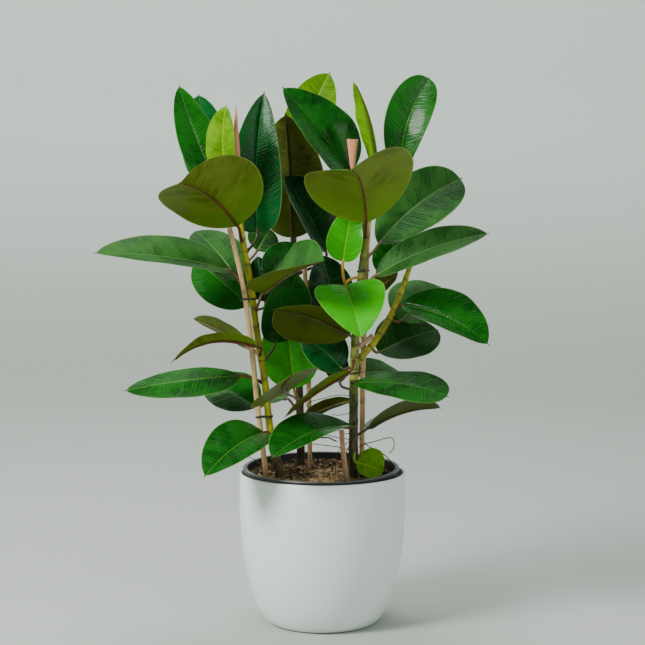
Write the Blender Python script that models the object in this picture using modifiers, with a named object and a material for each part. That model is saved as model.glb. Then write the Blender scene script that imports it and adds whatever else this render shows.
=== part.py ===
"""Potted rubber plant: several stems on canes in a nursery pot, inside a white round-bottomed planter.

Metres, +Z up. The origin is the centre of the planter's flat underside.
Lengths in the tables are millimetres; MM turns them into metres.
"""
import math
from collections import namedtuple

import bmesh
import bpy
import numpy as np
from mathutils import Vector

MM = 0.001
GAP = 0.3            # clearance between neighbouring solids

# ---- driving dimensions, millimetres ---------------------------------------------------------
PLANTER_RADIUS = 125.0
PLANTER_HEIGHT = 228.0
PLANTER_FOOT_RADIUS = 76.0
PLANTER_BOWL_HEIGHT = 184.0   # below this the wall curves in to the foot
PLANTER_WALL = 4.0
PLANTER_FLOOR = 5.0

NURSERY_RIM_RADIUS = 117.5
NURSERY_TOP_RADIUS = 113.0
NURSERY_FOOT_RADIUS = 72.0
NURSERY_HEIGHT = 228.0
NURSERY_RIM_HEIGHT = 7.0
NURSERY_WALL = 1.8
NURSERY_LEAN = math.radians(2.0)      # it stands a little out of level in the planter

SOIL_BELOW_RIM = 11.0
ROOT_DEPTH = 35.0             # how far stems and canes go down into the soil
POCKET_CLEARANCE = 2.0

LEAF_THICKNESS = 1.2
PETIOLE_RADIUS = 2.4

# ---- stems and canes: hand-chosen points (x, y, z, radius), from the soil up ------------------
STEMS = {
    "A": [(-61, -40, 222, 7.5), (-70, -40, 262, 6.5), (-78, -40, 301, 5.5), (-86, -40, 375, 5.2),
          (-96, -40, 436, 5.2), (-106, -40, 514, 5.0), (-120, -40, 599, 4.6), (-125, -40, 692, 4.2)],
    "B": [(-33, 62, 222, 6.5), (-35, 62, 320, 6.0), (-38, 62, 420, 5.4), (-44, 60, 540, 5.0),
          (-43, 58, 670, 4.2)],
    "C": [(46, -32, 222, 7.5), (46, -32, 295, 6.8), (46.5, -32, 370, 6.6), (50, -32, 455, 6.0),
          (57, -32, 525, 5.4), (63, -32, 600, 5.0), (46, -28, 678, 4.4)],
}
STUB = [(48, -33, 414, 2.5), (62, -37, 426, 3.6), (74, -40, 437, 3.4)]
BRANCH = [(46, -32, 388, 4.0), (58, -26, 404, 5.4), (75, -16, 422, 5.0), (91, -8, 444, 4.8),
          (105, 0, 470, 4.6), (116, 5, 491, 4.4), (131, 10, 536, 4.0)]
CANES = {
    "cane_a": [(-82, -48, 222, 4.0), (-95, -52, 330, 4.0), (-106, -54, 441, 3.9),
               (-118, -54, 522, 3.8), (-137, -54, 600, 3.7)],
    "cane_b": [(-19, 46, 222, 3.6), (-22, 44, 400, 3.6), (-28, 42, 560, 3.5)],
    "cane_c": [(59, -8, 222, 4.0), (60.5, -8, 390, 4.0), (66, -10, 561, 3.9), (70, -12, 618, 3.8)],
    "front_stake": [(36, -73, 222, 3.6), (31, -58, 262, 3.5), (28, -46, 297, 3.4)],
}

# ---- leaves ----------------------------------------------------------------------------------
# stem and node: where the stalk leaves the stem (height, mm).  foot and tip: the two ends of
# the blade.  face: the way its upper side looks.  width: mm.  bow: how far the midrib arches
# towards the upper side, sweep: how far it bends to the leaf's left, both parts of its length.
# fold: degrees each half is raised.  twist: degrees from foot to tip.  wide: where it is widest.
# blunt: how the blade closes towards its tip, rounder when small.
Leaf = namedtuple("Leaf", "name stem node foot tip face width bow sweep fold twist wide blunt")


def leaf(name, stem, node, foot, tip, face, width, bow=.06, sweep=0., fold=10., twist=0., wide=.5,
         blunt=.68):
    return Leaf(name, stem, node, foot, tip, face, width, bow, sweep, fold, twist, wide, blunt)


LEAVES = [
    # stem A, from the top down
    leaf("leaf_a01", "A", 632, (-148, -22, 640), (-213, 5, 806), (3, -8, 0), 62, .05, .04, 12, wide=.46),
    leaf("leaf_a02", "A", 620, (-174, 14, 653), (-188, 68, 796), (2, -9, 2), 71, .05, 0, 10),
    leaf("leaf_a03", "A", 662, (-139, -46, 668), (-139, -56, 773), (-4, -8, 1), 52, .05, .04, 15),
    leaf("leaf_a05", "A", 558, (-97, -1, 588), (-86, 9, 797), (0, -8, 0), 86, .04, .03, 25, wide=.36),
    leaf("leaf_a06", "A", 575, (-123, -62, 598), (-197, -190, 660), (-2, 6, 7), 150, .075, .04, 19,
         wide=.39, blunt=.42),
    leaf("leaf_a07", "A", 506, (-139, -50, 534), (-325, -120, 561), (0, -4.5, 8.2), 92, .055, .02, 17,
         wide=.45),
    leaf("leaf_a08", "A", 500, (-125, -20, 517), (-195, 70, 588), (1, -6, 6), 76, .06, 0, 12),
    leaf("leaf_a09", "A", 480, (-110, -20, 480), (-195, 60, 543), (-2, -8, 4), 78, .06, 0, 12),
    leaf("leaf_a10", "A", 474, (-87, -58, 500), (4, -196, 554), (-4.4, -.4, 8.4), 108, .04, 0, 33, 16,
         wide=.52),
    leaf("leaf_a11", "A", 512, (-82, -8, 522), (-36, 6, 570), (1, -8, 4), 54, .06, 0, 12),
    leaf("leaf_a12", "A", 542, (-98, 14, 560), (-80, 46, 592), (1, -9, 3), 50, .04, 0, 6),
    leaf("leaf_a14", "A", 397, (-70, -10, 424), (-38, -20, 530), (6, -9, 1), 88, .05, .05, 18),
    leaf("leaf_a46", "A", 408, (-95, -74, 424), (-217, -120, 403), (-1, 4, 9), 50, .16, 0, 12),
    leaf("leaf_a47", "A", 402, (-104, -22, 415), (-197, 30, 456), (-1, 6, 7), 54, .04, 0, 8),
    leaf("leaf_a44", "A", 366, (-122, -46, 378), (-287, -95, 361), (0, -5, 8), 70, .03, .0, -10),
    leaf("leaf_a45", "A", 332, (-98, -26, 329), (-178, 45, 360), (0, -7, 6), 76, .05, 0, 10),
    leaf("leaf_a35", "A", 290, (-86, -62, 296), (-168, -150, 245), (-1, -5.4, 6.7), 88, .10, 0, 17,
         wide=.44),
    # stem B, at the back
    leaf("leaf_b20", "B", 662, (-42, 82, 690), (12, 82, 830), (-1, -9, 0), 72, .02, .04, 10, wide=.6),
    leaf("leaf_b50", "B", 560, (-46, 46, 578), (-56, 34, 766), (1, 8, 2), 108, .03, 0, 10, wide=.46),
    leaf("leaf_b51", "B", 520, (5, 30, 558), (-58, 20, 672), (8, -7, 2), 104, .04, 0, 28),
    leaf("leaf_b39", "B", 330, (-44, 42, 349), (-56, 28, 480), (0, -9, 1), 92, .05, 0, 20),
    leaf("leaf_b37", "B", 322, (-55, -50, 353), (-42, -165, 393), (-4, 1, 7), 112, .02, -.06, -4, wide=.56),
    leaf("leaf_b49", "B", 312, (-56, 68, 330), (-95, 110, 320), (0, -5, 8), 56, .06, 0, 8),
    # stem C and its branch
    leaf("leaf_c19", "C", 655, (41, 4, 676), (-60, -5, 802), (6.8, -8.4, 5.6), 112, .05, .03, 20, wide=.43),
    leaf("leaf_c21", "C", 662, (77, -30, 687), (44, -48, 810), (-9, -3, 0), 46, -.06, 0, 30),
    leaf("leaf_c23", "C", 640, (114, -20, 669), (159, -5, 817), (-1, -8, 1), 71, .06, .08, 22, wide=.58,
         blunt=.45),
    leaf("leaf_c18", "C", 580, (63, -58, 602), (37, -215, 678), (-1.9, 4, 8.5), 168, .10, .05, 20,
         wide=.43, blunt=.5),
    leaf("leaf_c24", "C", 545, (84, -2, 570), (213, 60, 668), (2, -7, 6), 94, .05, .05, 10, wide=.54,
         blunt=.45),
    leaf("leaf_c26", "C", 490, (92, 2, 522), (112, 36, 582), (-1, -8, 4), 52, .05, 0, 12),
    leaf("leaf_c25", "C", 505, (78, -45, 526), (242, -75, 588), (0, -6, 7), 66, .07, 0, 16, wide=.52),
    leaf("leaf_c16", "C", 520, (33, -66, 512), (54, -178, 445), (0, -6, 6), 104, .06, 0, 15, wide=.38),
    leaf("leaf_c17", "C", 486, (30, -46, 546), (44, -42, 626), (-3, -8, 0), 58, .03, 0, 15, wide=.42),
    leaf("leaf_c15", "C", 420, (40, -50, 438), (-71, -95, 479), (-1, 5, 6), 94, .08, 0, -22, blunt=.42),
    leaf("leaf_c28", "D", 468, (119, -4, 479), (244, -55, 424), (0, -6, 7), 88, .08, .03, 27, wide=.54),
    leaf("leaf_c29", "D", 455, (118, 18, 454), (182, 75, 502), (-1, -6, 6), 98, .06, 0, 10),
    leaf("leaf_c30", "D", 415, (84, 0, 408), (178, 60, 436), (0, -6, 6), 92, .06, 0, 10),
    leaf("leaf_c31", "C", 366, (44, -54, 368), (180, -130, 357), (0, -4, 8), 80, .07, 0, 0, wide=.6,
         blunt=.42),
    leaf("leaf_c32", "C", 394, (48, 4, 374), (125, 80, 364), (0, -6, 7), 56, .06, 0, 10),
    leaf("leaf_c33", "C", 285, (68, -20, 296), (181, 25, 320), (0, 3, 8), 84, .08, 0, 18, wide=.42),
    leaf("leaf_c36", "C", 302, (46, -56, 304), (-73, -170, 274), (-1, -2.8, 8), 94, .10, 0, 17, wide=.56),
    leaf("leaf_c38", "C", 398, (40, -58, 386), (-56, -84, 320), (-5, 2, 6), 54, .03, 0, 10),
    leaf("leaf_c40", "C", 388, (29, -36, 387), (-30, -22, 436), (1, -6, 6), 76, .06, 0, 12),
    leaf("leaf_c43", "C", 345, (44, -12, 338), (-32, 30, 300), (0, 5, 8), 36, .06, 0, 10),
    leaf("leaf_c34", "C", 262, (50, -49, 249), (90, -52, 237), (-1, -6, 6), 58, .04, 0, 25, blunt=.5),
]

# Shape of a blade: (share of its length, share of its half width), from the foot to the drip tip.
BLADE_STEPS = (0.0, .05, .14, .27, .41, .55, .68, .80, .89, .95, 1.0)
PETIOLE_STEPS = (0.0, .35, .7)


def unit(vector):
    return vector / np.linalg.norm(vector)


def blade_half_width(t, wide, blunt):
    """Half width of a blade at share t of its length, as a share of its greatest half width."""
    t = min(max(t, 0), 1) ** (math.log(.5) / math.log(wide))   # puts the widest place at `wide`
    body = (2 * t) ** .55 * (2 * (1 - t)) ** blunt
    drip = .05 * max(1 - abs(t - .97) / .06, 0)
    return max(body, drip, .03)


class Blade:
    """The midrib curve of one blade and the frame that its halves are built on."""

    def __init__(self, row):
        self.row = row
        self.foot = np.array(row.foot, float)
        chord = np.array(row.tip, float) - self.foot
        self.length = np.linalg.norm(chord)
        self.along = chord / self.length
        face = np.array(row.face, float)
        self.up = unit(face - face.dot(self.along) * self.along)
        self.left = np.cross(self.up, self.along)

    def rib(self, t):
        arch = 4 * t * (1 - t) * self.length
        return (self.foot + self.along * self.length * t
                + self.up * self.row.bow * arch + self.left * self.row.sweep * arch)

    def frame(self, t):
        """Tangent, across (to the leaf's left) and upper-side normal at share t."""
        tangent = unit(self.rib(t + .01) - self.rib(t - .01))
        across = np.cross(self.up, tangent)
        normal = np.cross(tangent, unit(across))
        turn = math.radians(self.row.twist) * t
        across = unit(np.cross(normal, tangent)) * math.cos(turn) + normal * math.sin(turn)
        return tangent, across, np.cross(tangent, across)

    def point(self, t, side):
        """A point of the middle surface; side runs from -1, the right edge, to 1, the left."""
        tangent, across, normal = self.frame(t)
        half = blade_half_width(t, self.row.wide, self.row.blunt) * self.row.width / 2
        fold = math.radians(self.row.fold)
        return (self.rib(t) + across * half * side * math.cos(fold)
                + normal * half * abs(side) * math.sin(fold) * (1.25 - .35 * abs(side)))


def blade_rings(row):
    """Rings of eight points along the blade: flat, with sharp sides and a thicker rib."""
    blade = Blade(row)
    rings = []
    for t in BLADE_STEPS:
        _, _, normal = blade.frame(t)
        thick = normal * LEAF_THICKNESS / 2
        left, right = blade.point(t, 1), blade.point(t, -1)
        mid_left, mid_right = blade.point(t, .5), blade.point(t, -.5)
        rib = blade.rib(t)
        rib_half = thick * (2.4 - 1.6 * t)
        rings.append([left, mid_left + thick, rib + thick, mid_right + thick,
                      right, mid_right - thick, rib - rib_half, mid_left - thick])
    return rings


def petiole_rings(row, start, out):
    """Round rings from the stem to the blade's foot, on a curve that leaves the stem along `out`."""
    blade = Blade(row)
    tangent, _, _ = blade.frame(0.0)
    reach = np.linalg.norm(blade.foot - start)
    rings = []
    for t in PETIOLE_STEPS:
        h = (2*t**3 - 3*t**2 + 1, t**3 - 2*t**2 + t, 3*t**2 - 2*t**3, t**3 - t**2)
        centre = h[0] * start + h[1] * out * reach + h[2] * blade.foot + h[3] * tangent * reach
        d = (6*t**2 - 6*t, 3*t**2 - 4*t + 1, 6*t - 6*t**2, 3*t**2 - 2*t)
        along = unit(d[0] * start + d[1] * out * reach + d[2] * blade.foot + d[3] * tangent * reach)
        normal = unit(blade.up - blade.up.dot(along) * along)
        left = np.cross(normal, along)
        radius = PETIOLE_RADIUS * (1.25 - .25 * t)
        angles = [math.radians(a) for a in (0, 45, 90, 135, 180, 225, 270, 315)]
        rings.append([centre + radius * (left * math.cos(a) + normal * math.sin(a)) for a in angles])
    return rings


# ==== building ================================================================================
for old in list(bpy.data.objects):
    bpy.data.objects.remove(old, do_unlink=True)

plant = bpy.data.collections.new("potted_rubber_plant")
cutters = bpy.data.collections.new("cutters")
bpy.context.scene.collection.children.link(plant)
bpy.context.scene.collection.children.link(cutters)


def material(name, colour, roughness):
    made = bpy.data.materials.new(name)
    made.use_nodes = True
    shader = made.node_tree.nodes["Principled BSDF"]
    shader.inputs["Base Color"].default_value = (*colour, 1)
    shader.inputs["Roughness"].default_value = roughness
    shader.inputs["Metallic"].default_value = 0.0
    return made


def add_object(name, data, surface, smooth_angle=40):
    node = bpy.data.objects.new(name, data)
    plant.objects.link(node)
    data.materials.append(surface)
    if isinstance(data, bpy.types.Mesh):
        data.shade_smooth()
        data.set_sharp_from_angle(angle=math.radians(smooth_angle))
    return node


def mesh_from_rings(name, rings):
    """A closed loft through rings of equal count, with a fan cap at each end."""
    mesh = bmesh.new()
    loops = [[mesh.verts.new(Vector(p) * MM) for p in ring] for ring in rings]
    count = len(loops[0])
    for lower, upper in zip(loops, loops[1:]):
        for i in range(count):
            j = (i + 1) % count
            mesh.faces.new((lower[i], lower[j], upper[j], upper[i]))
    mesh.faces.new(list(reversed(loops[0])))
    mesh.faces.new(loops[-1])
    bmesh.ops.recalc_face_normals(mesh, faces=mesh.faces)
    data = bpy.data.meshes.new(name)
    mesh.to_mesh(data)
    mesh.free()
    return data


def smooth_points(points, per_span=4):
    """Points on a smooth curve through rows of numbers (Catmull-Rom)."""
    rows = [np.array(p, float) for p in points]
    rows = [2 * rows[0] - rows[1]] + rows + [2 * rows[-1] - rows[-2]]
    out = []
    for a, b, c, d in zip(rows, rows[1:], rows[2:], rows[3:]):
        for k in range(per_span):
            t = k / per_span
            out.append(.5 * (2*b + (c - a)*t + (2*a - 5*b + 4*c - d)*t*t + (3*b - a - 3*c + d)*t**3))
    return out + [rows[-2]]


def tube(name, points, surface, closed=False, sides_level=2):
    """A solid rod along rows of (x, y, z, radius), as a poly curve with filled caps."""
    curve = bpy.data.curves.new(name, "CURVE")
    curve.dimensions = "3D"
    curve.bevel_depth = MM
    curve.bevel_resolution = sides_level
    curve.use_fill_caps = not closed
    spline = curve.splines.new("POLY")
    spline.points.add(len(points) - 1)
    spline.use_cyclic_u = closed
    for point, row in zip(spline.points, points):
        point.co = (*(float(v) * MM for v in row[:3]), 1)
        point.radius = float(row[3])
    return add_object(name, curve, surface)


def turned(name, profile, surface, steps=40):
    """A solid of revolution about Z from (radius, height) pairs, inner side up, outer side down."""
    data = bpy.data.meshes.new(name)
    points = [(r * MM, 0, z * MM) for r, z in profile]
    data.from_pydata(points, [(i, i + 1) for i in range(len(points) - 1)], [])
    node = add_object(name, data, surface)
    screw = node.modifiers.new("turn", "SCREW")
    screw.steps = screw.render_steps = steps
    screw.use_merge_vertices = True
    screw.merge_threshold = 1e-5
    return node


# ---- planter ---------------------------------------------------------------------------------
def bowl_radius(height):
    """Outer radius of the planter: a straight wall above a round bowl."""
    share = max(1 - height / PLANTER_BOWL_HEIGHT, 0)
    return (PLANTER_FOOT_RADIUS
            + (PLANTER_RADIUS - PLANTER_FOOT_RADIUS) * (1 - share ** 1.9) ** (1 / 1.8))


def build_planter(surface):
    heights = [0, 1.5, 4, 9, 17, 29, 46, 68, 96, 130, PLANTER_BOWL_HEIGHT]
    outer = [(bowl_radius(z), z) for z in heights]
    inner = [(bowl_radius(z) - PLANTER_WALL, z) for z in heights if z > PLANTER_FLOOR]
    rim = PLANTER_HEIGHT
    profile = ([(0, PLANTER_FLOOR), (bowl_radius(PLANTER_FLOOR) - PLANTER_WALL - 2, PLANTER_FLOOR)]
               + inner
               + [(PLANTER_RADIUS - PLANTER_WALL, rim - 1.2), (PLANTER_RADIUS - PLANTER_WALL + 1.2, rim),
                  (PLANTER_RADIUS - 1.2, rim), (PLANTER_RADIUS, rim - 1.2)]
               + outer[::-1] + [(0, 0)])
    return turned("planter", profile, surface, 48)


# ---- nursery pot and soil, both a little out of level ----------------------------------------
def stand_in_planter(node):
    """Seat a piece on the planter's floor, leaning by NURSERY_LEAN, its low edge to the front."""
    node.rotation_euler.x = NURSERY_LEAN
    lift = PLANTER_FLOOR + GAP + NURSERY_FOOT_RADIUS * math.sin(NURSERY_LEAN)
    node.location = Vector((-2, 6, lift)) * MM


def nursery_radius(height):
    share = height / NURSERY_HEIGHT
    return NURSERY_FOOT_RADIUS + (NURSERY_TOP_RADIUS - NURSERY_FOOT_RADIUS) * share


def build_nursery_pot(surface):
    top, lip = NURSERY_HEIGHT, NURSERY_HEIGHT - NURSERY_RIM_HEIGHT
    wall = NURSERY_WALL
    inside = nursery_radius(top) - wall
    profile = [(0, wall), (NURSERY_FOOT_RADIUS - wall, wall), (inside, top),
               (NURSERY_RIM_RADIUS, top), (NURSERY_RIM_RADIUS, lip), (nursery_radius(lip), lip),
               (NURSERY_FOOT_RADIUS, 0), (0, 0)]
    pot = turned("nursery_pot", profile, surface, 48)
    stand_in_planter(pot)
    return pot


def build_soil(surface, planted):
    """The potting soil: a plug that fills the nursery pot, with a pocket for each rooted piece."""
    floor = NURSERY_WALL + GAP
    top = NURSERY_HEIGHT - SOIL_BELOW_RIM
    wall = NURSERY_WALL + 2 * GAP
    profile = [(0, top + 2), (60, top + 1), (95, top - 1), (nursery_radius(top - 2) - wall, top - 2),
               (NURSERY_FOOT_RADIUS - wall, floor), (0, floor)]
    soil = turned("soil", profile, surface, 48)
    stand_in_planter(soil)
    for name, row in planted.items():
        x, y, z, radius = row
        bpy.ops.mesh.primitive_cylinder_add(
            vertices=16, radius=(radius + POCKET_CLEARANCE) * MM, depth=(ROOT_DEPTH + 30) * MM,
            location=Vector((x, y, z - ROOT_DEPTH - GAP + (ROOT_DEPTH + 30) / 2)) * MM)
        cutter = bpy.context.object
        cutter.name = "pocket_" + name
        for collection in list(cutter.users_collection):
            collection.objects.unlink(cutter)
        cutters.objects.link(cutter)
        cutter.hide_render = True
        cutter.display_type = "WIRE"
        cut = soil.modifiers.new("pocket_" + name, "BOOLEAN")
        cut.operation = "DIFFERENCE"
        cut.solver = "EXACT"
        cut.object = cutter
    return soil


# ---- stems, canes and ties -------------------------------------------------------------------
def rooted(points):
    """The smooth path of a stem or cane, carried straight down into the soil."""
    x, y, z, radius = points[0]
    return [np.array((x, y, z - ROOT_DEPTH, radius), float)] + smooth_points(points, 3)


def as_mesh(node):
    """Turn a tube's curve object into a closed mesh object of the same name."""
    name, surface = node.name, node.data.materials[0]
    evaluated = node.evaluated_get(bpy.context.evaluated_depsgraph_get())
    data = bpy.data.meshes.new_from_object(evaluated)
    matrix = node.matrix_world.copy()
    bpy.data.objects.remove(node, do_unlink=True)
    mesh = bmesh.new()
    mesh.from_mesh(data)
    bmesh.ops.remove_doubles(mesh, verts=mesh.verts, dist=1e-6)
    mesh.to_mesh(data)
    mesh.free()
    data.materials.clear()
    made = add_object(name, data, surface)
    made.matrix_world = matrix
    return made


def join_to(body, piece):
    """Boolean union of a cutter piece into body."""
    plant.objects.unlink(piece)
    cutters.objects.link(piece)
    piece.hide_render = True
    piece.display_type = "WIRE"
    union = body.modifiers.new(piece.name, "BOOLEAN")
    union.operation = "UNION"
    union.solver = "EXACT"
    union.object = piece


def axis_at(path, height):
    """Centre and radius of a stem at a height, from its smooth path."""
    rows = np.array(path)
    return np.array([np.interp(height, rows[:, 2], rows[:, k]) for k in range(4)])


def tie(name, first, second, height, surface):
    """A wire belt round two upright rods at one height."""
    wire_radius = .6
    a, b = axis_at(first, height), axis_at(second, height)
    heading = math.atan2(b[1] - a[1], b[0] - a[0])
    points = []
    for centre, start in ((b, heading - math.pi / 2), (a, heading + math.pi / 2)):
        radius = centre[3] + wire_radius + 2 * GAP
        for k in range(6):
            angle = start + k / 5 * math.pi
            points.append((centre[0] + radius * math.cos(angle), centre[1] + radius * math.sin(angle),
                           height, wire_radius))
    return tube(name, points, surface, closed=True, sides_level=1)


def build_leaf(row, paths, surface):
    stem = axis_at(paths[row.stem], row.node)
    along = unit(axis_at(paths[row.stem], row.node + 5)[:3] - stem[:3])
    away = np.array(row.foot, float) - stem[:3]
    away[2] = 0
    away = unit(away)
    clear = np.linalg.norm(away - away.dot(along) * along)      # 1 where the stem is upright
    start = stem[:3] + away * (stem[3] + 2.4) / clear
    out = unit(away + np.array((0, 0, .6)))
    rings = petiole_rings(row, start, out) + blade_rings(row)
    return add_object(row.name, mesh_from_rings(row.name, rings), surface, 50)


def build_bud_sheaths(surface):
    """The pink sheaths at two stem tips: one a closed spike, one an opened, squared-off funnel."""
    spike = [(-125, -40, 693.0, 4.0), (-125.5, -40, 702, 5.6), (-126, -40, 716, 5.2),
             (-126, -40, 740, 3.2), (-126, -40, 760, 1.6), (-126, -40, 774, .5)]
    tube("bud_sheath_a", spike, surface)
    rings = []
    for height, half_width, half_depth in ((680, 2.6, 2.2), (690, 4.2, 2.4), (706, 6.4, 2.6),
                                           (724, 8.4, 1.6)):
        angles = [math.radians(a) for a in range(0, 360, 36)]
        y = -30 - .18 * (height - 680)
        rings.append([(44 + half_width * math.cos(a), y + half_depth * math.sin(a), height)
                      for a in angles])
    add_object("bud_sheath_c", mesh_from_rings("bud_sheath_c", rings), surface)


white = material("white_planter", (.74, .77, .76), .4)
black = material("black_nursery_plastic", (.02, .02, .022), .45)
peat = material("peat_soil", (.05, .03, .018), .95)
bark = material("green_stem", (.2, .26, .05), .55)
cane = material("split_cane", (.5, .33, .17), .7)
wire = material("dark_wire", (.02, .03, .02), .6)
pink = material("pink_sheath", (.75, .28, .2), .5)
green = material("leaf_green", (.02, .12, .02), .3)

build_planter(white)
build_nursery_pot(black)

paths = {name: rooted(points) for name, points in {**STEMS, **CANES}.items()}
paths["D"] = smooth_points(BRANCH, 3)
build_soil(peat, {name: points[0] for name, points in {**STEMS, **CANES}.items()})

for name in STEMS:
    tube("stem_" + name.lower(), paths[name], bark)
stem_c = as_mesh(bpy.data.objects["stem_c"])
join_to(stem_c, as_mesh(tube("branch", paths["D"], bark)))
join_to(stem_c, as_mesh(tube("pruned_stub", smooth_points(STUB, 2), bark)))
for name in CANES:
    tube(name, paths[name], cane)

tie("tie_a_upper", paths["A"], paths["cane_a"], 490, wire)
tie("tie_a_lower", paths["A"], paths["cane_a"], 316, wire)
tie("tie_c_upper", paths["C"], paths["cane_c"], 530, wire)
tie("tie_c_lower", paths["C"], paths["cane_c"], 379, wire)

build_bud_sheaths(pink)
for row in LEAVES:
    build_leaf(row, paths, green)
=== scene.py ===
"""A potted rubber plant in its white planter: the finer shapes and finishes, in metres, +Z up."""

import math
import random
from collections import namedtuple

import bpy
import numpy as np
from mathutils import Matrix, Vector, noise


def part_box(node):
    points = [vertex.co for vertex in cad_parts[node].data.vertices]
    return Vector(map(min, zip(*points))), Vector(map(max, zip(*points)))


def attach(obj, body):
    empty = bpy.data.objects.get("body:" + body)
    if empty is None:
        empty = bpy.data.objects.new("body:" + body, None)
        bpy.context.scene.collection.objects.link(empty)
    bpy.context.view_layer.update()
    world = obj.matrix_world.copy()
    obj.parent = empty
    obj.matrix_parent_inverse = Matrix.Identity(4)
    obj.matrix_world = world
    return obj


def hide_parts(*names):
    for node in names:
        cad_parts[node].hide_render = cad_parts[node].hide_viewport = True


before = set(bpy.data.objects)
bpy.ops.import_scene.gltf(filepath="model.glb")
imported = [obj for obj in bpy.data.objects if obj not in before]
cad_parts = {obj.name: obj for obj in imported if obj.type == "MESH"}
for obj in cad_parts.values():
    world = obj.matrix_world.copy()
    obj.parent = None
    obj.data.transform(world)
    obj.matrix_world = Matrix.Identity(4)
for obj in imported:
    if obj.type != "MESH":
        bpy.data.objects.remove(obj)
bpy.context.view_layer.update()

# ---- The planter -----------------------------------------------------------------------------
# A round-bottomed pot cover, moulded in one piece in white plastic with a satin skin. Its wall is
# straight above a deep bowl, the lip is rounded over, and it stands on a narrow flat foot.
MM = 0.001
PLANTER_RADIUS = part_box("planter")[1][0] / MM
PLANTER_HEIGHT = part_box("planter")[1][2] / MM
PLANTER_WALL = 4.0
PLANTER_FLOOR = 5.0
PLANTER_FOOT = 76.0
PLANTER_BOWL = 184.0          # the bowl is this deep; the wall is straight above it
LIP_ROUND = 1.6
WHITE = (.83, .90, .88)


def node(tree, kind, *inputs, **settings):
    """Adds a shader node; inputs come in socket order, and None leaves a socket as it is."""
    made = tree.nodes.new("ShaderNode" + kind)
    for key, value in settings.items():
        setattr(made, key, value)
    for socket, value in zip(made.inputs, inputs):
        if isinstance(value, bpy.types.NodeSocket):
            tree.links.new(value, socket)
        elif value is not None:
            socket.default_value = value
    return made


def calc(tree, operation, a, b=None):
    return node(tree, "Math", a, b, operation=operation).outputs[0]


def times(tree, a, b):
    return calc(tree, "MULTIPLY", a, b)


def fit(tree, value, low, high, to_low=0.0, to_high=1.0):
    """Eases value from the range low..high to the range to_low..to_high."""
    made = node(tree, "MapRange", value, low, high, to_low, to_high, interpolation_type="SMOOTHSTEP")
    return made.outputs[0]


def speckle(tree, where, size, detail=2.0, rough=.5):
    """Cloudy noise from 0 to 1; size is how many clouds there are to one unit of `where`."""
    made = node(tree, "TexNoise", where)
    made.inputs["Scale"].default_value = size
    made.inputs["Detail"].default_value = detail
    made.inputs["Roughness"].default_value = rough
    return made.outputs[0]


def tint(tree, share, first, second):
    """Mixes two colours: share 0 gives the first."""
    first, second = ((*shade, 1) if isinstance(shade, tuple) else shade for shade in (first, second))
    return node(tree, "Mix", share, *[None] * 5, first, second, data_type="RGBA").outputs[2]


def new_surface(name, roughness, **plain):
    """A material with one Principled shader, and where each point lies on its piece. plain holds the
    shader's own socket values, as Coat_Weight."""
    made = bpy.data.materials.new(name)
    made.use_nodes = True
    shader = made.node_tree.nodes["Principled BSDF"]
    shader.inputs["Roughness"].default_value = roughness
    for socket, value in plain.items():
        shader.inputs[socket.replace("_", " ")].default_value = value
    return made, made.node_tree, shader, node(made.node_tree, "TexCoord").outputs["Object"]


def feed(tree, shader, colour, roughness=None, height=None, depth_mm=0.0):
    """Gives a shader its colour, and a varying roughness and a bump depth_mm deep if it has them."""
    tree.links.new(colour, shader.inputs["Base Color"])
    if roughness is not None:
        tree.links.new(roughness, shader.inputs["Roughness"])
    if height is not None:
        bump = node(tree, "Bump")
        bump.inputs["Distance"].default_value = depth_mm * MM
        tree.links.new(height, bump.inputs["Height"])
        tree.links.new(bump.outputs[0], shader.inputs["Normal"])


def new_group(name, **inputs):
    """A shader group with named inputs of these kinds; returns it with what it is given inside."""
    made = bpy.data.node_groups.new(name, "ShaderNodeTree")
    for label, kind in inputs.items():
        made.interface.new_socket(label, in_out="INPUT", socket_type="NodeSocket" + kind)
    return made, made.nodes.new("NodeGroupInput").outputs


def put_out(group, **masks):
    """Gives a group its named outputs, each one number at every point."""
    for label in masks:
        group.interface.new_socket(label, in_out="OUTPUT", socket_type="NodeSocketFloat")
    ends = group.nodes.new("NodeGroupOutput").inputs
    for label, value in masks.items():
        group.links.new(value, ends[label])


def place_group(tree, group, **values):
    made = tree.nodes.new("ShaderNodeGroup")
    made.node_tree = group
    for label, value in values.items():
        if isinstance(value, bpy.types.NodeSocket):
            tree.links.new(value, made.inputs[label])
        else:
            made.inputs[label].default_value = value
    return made.outputs


def mesh_object(name, points_mm, faces, *surfaces, slots=None):
    """A smooth-shaded mesh object from points in millimetres."""
    data = bpy.data.meshes.new(name)
    data.from_pydata([tuple(p) for p in np.asarray(points_mm, float) * MM], [], faces)
    for surface in surfaces:
        data.materials.append(surface)
    if slots is not None:
        data.polygons.foreach_set("material_index", np.asarray(slots, dtype=np.int32))
    data.shade_smooth()
    made = bpy.data.objects.new(name, data)
    bpy.context.scene.collection.objects.link(made)
    return made


def settle(piece, slot, *cad_nodes):
    """Fixes a piece to the plant and takes the place of CAD nodes; slot, the name of its finish, is not used.
    """
    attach(piece, "root")
    if cad_nodes:
        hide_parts(*cad_nodes)


def around(radius, angle):
    """x and y at an angle round the upright axis."""
    return radius * math.cos(angle), radius * math.sin(angle)


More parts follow.
